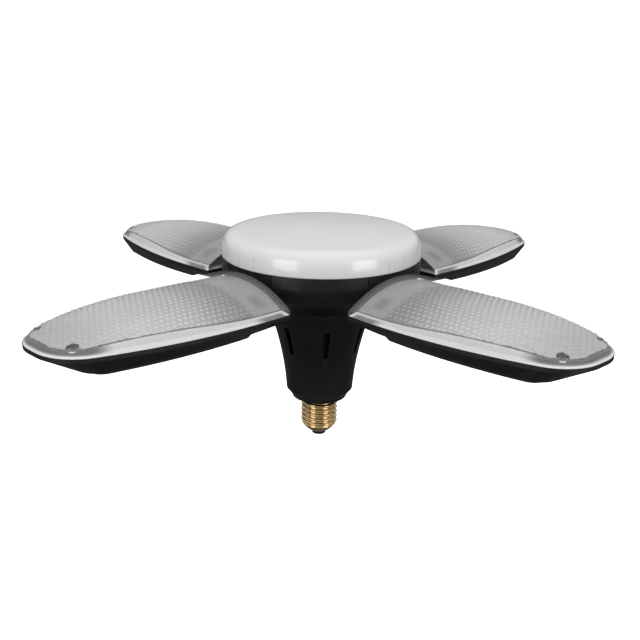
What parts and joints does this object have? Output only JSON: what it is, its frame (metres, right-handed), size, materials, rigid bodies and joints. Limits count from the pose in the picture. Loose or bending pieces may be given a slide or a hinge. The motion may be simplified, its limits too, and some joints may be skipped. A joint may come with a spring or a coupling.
{
  "type": "folding garage light",
  "caption": "Screw-in ceiling light with a round frosted centre and lens-covered leaves that fold on friction hinges round a tapered black driver housing.",
  "frame": {"origin": "on the light's axis, in the plane where the screw cap meets the housing's collar", "axes": "+Z along the light's axis from the cap to the round centre lens, +X along the first leaf"},
  "size_m": [0.4476, 0.4476, 0.1575],
  "materials": {
    "brass": "bright nickel-washed brass",
    "black_glass": "black vitrified insulator",
    "black_plastic": "satin black moulded plastic",
    "black_aluminium": "satin black painted aluminium",
    "dark_steel": "blackened steel",
    "bright_steel": "zinc-plated steel",
    "bare_aluminium": "bare pressed aluminium",
    "frosted_cover": "frosted light-diffusing plastic",
    "clear_lens": "clear plastic with fine prisms inside",
    "white_board": "white solder mask",
    "led_yellow": "white body with yellow phosphor",
    "black_sleeve": "black insulating tube",
    "green_board": "green circuit board",
    "ferrite": "ferrite core with yellow tape",
    "capacitor_sleeve": "dark shrink sleeve",
    "component_black": "moulded package",
    "fuse_glass": "glass tube",
    "red_wire": "red insulation",
    "white_wire": "white insulation"
  },
  "bodies": {
    "hub": {"board_screws": "bright_steel", "cap_insulator": "black_glass", "cap_shell": "brass", "centre_contact": "brass", "centre_led_board": "white_board", "centre_leds": "led_yellow", "centre_lens": "frosted_cover", "driver_board": "green_board", "driver_capacitors": "capacitor_sleeve", "driver_fuse": "fuse_glass", "driver_housing": "black_plastic", "driver_rectifier": "component_black", "driver_sleeve": "black_sleeve", "driver_transformer": "ferrite", "friction_washers": "dark_steel", "heat_disc": "bare_aluminium", "hinge_nuts": "dark_steel", "hinge_pin_1": "dark_steel", "hinge_pin_2": "dark_steel", "hinge_pin_3": "dark_steel", "hinge_pin_4": "dark_steel", "hub_screws": "dark_steel", "hub_shell": "black_plastic", "live_wire": "red_wire", "neutral_wire": "white_wire", "output_leads": "red_wire"},
    "leaf_1": {"arm_screws_1": "dark_steel", "heat_plate_1": "black_aluminium", "hinge_arm_1": "dark_steel", "leaf_led_board_1": "white_board", "leaf_leds_1": "led_yellow", "leaf_lens_1": "clear_lens", "leaf_tray_1": "black_plastic", "tip_screws_1": "dark_steel"},
    "leaf_2": {"arm_screws_2": "dark_steel", "heat_plate_2": "black_aluminium", "hinge_arm_2": "dark_steel", "leaf_led_board_2": "white_board", "leaf_leds_2": "led_yellow", "leaf_lens_2": "clear_lens", "leaf_tray_2": "black_plastic", "tip_screws_2": "dark_steel"},
    "leaf_3": {"arm_screws_3": "dark_steel", "heat_plate_3": "black_aluminium", "hinge_arm_3": "dark_steel", "leaf_led_board_3": "white_board", "leaf_leds_3": "led_yellow", "leaf_lens_3": "clear_lens", "leaf_tray_3": "black_plastic", "tip_screws_3": "dark_steel"},
    "leaf_4": {"arm_screws_4": "dark_steel", "heat_plate_4": "black_aluminium", "hinge_arm_4": "dark_steel", "leaf_led_board_4": "white_board", "leaf_leds_4": "led_yellow", "leaf_lens_4": "clear_lens", "leaf_tray_4": "black_plastic", "tip_screws_4": "dark_steel"}
  },
  "joints": [
    {"name": "leaf_1_fold", "type": "hinge", "parent": "hub", "child": "leaf_1", "pos_m": [0.0645, 0, 0.0841], "axis": [0, 1, 0], "range_deg": [0, 90]},
    {"name": "leaf_2_fold", "type": "hinge", "parent": "hub", "child": "leaf_2", "pos_m": [0, 0.0645, 0.0841], "axis": [-1, 0, 0], "range_deg": [0, 90]},
    {"name": "leaf_3_fold", "type": "hinge", "parent": "hub", "child": "leaf_3", "pos_m": [-0.0645, 0, 0.0841], "axis": [0, -1, 0], "range_deg": [0, 90]},
    {"name": "leaf_4_fold", "type": "hinge", "parent": "hub", "child": "leaf_4", "pos_m": [0, -0.0645, 0.0841], "axis": [1, 0, 0], "range_deg": [0, 90]}
  ]
}
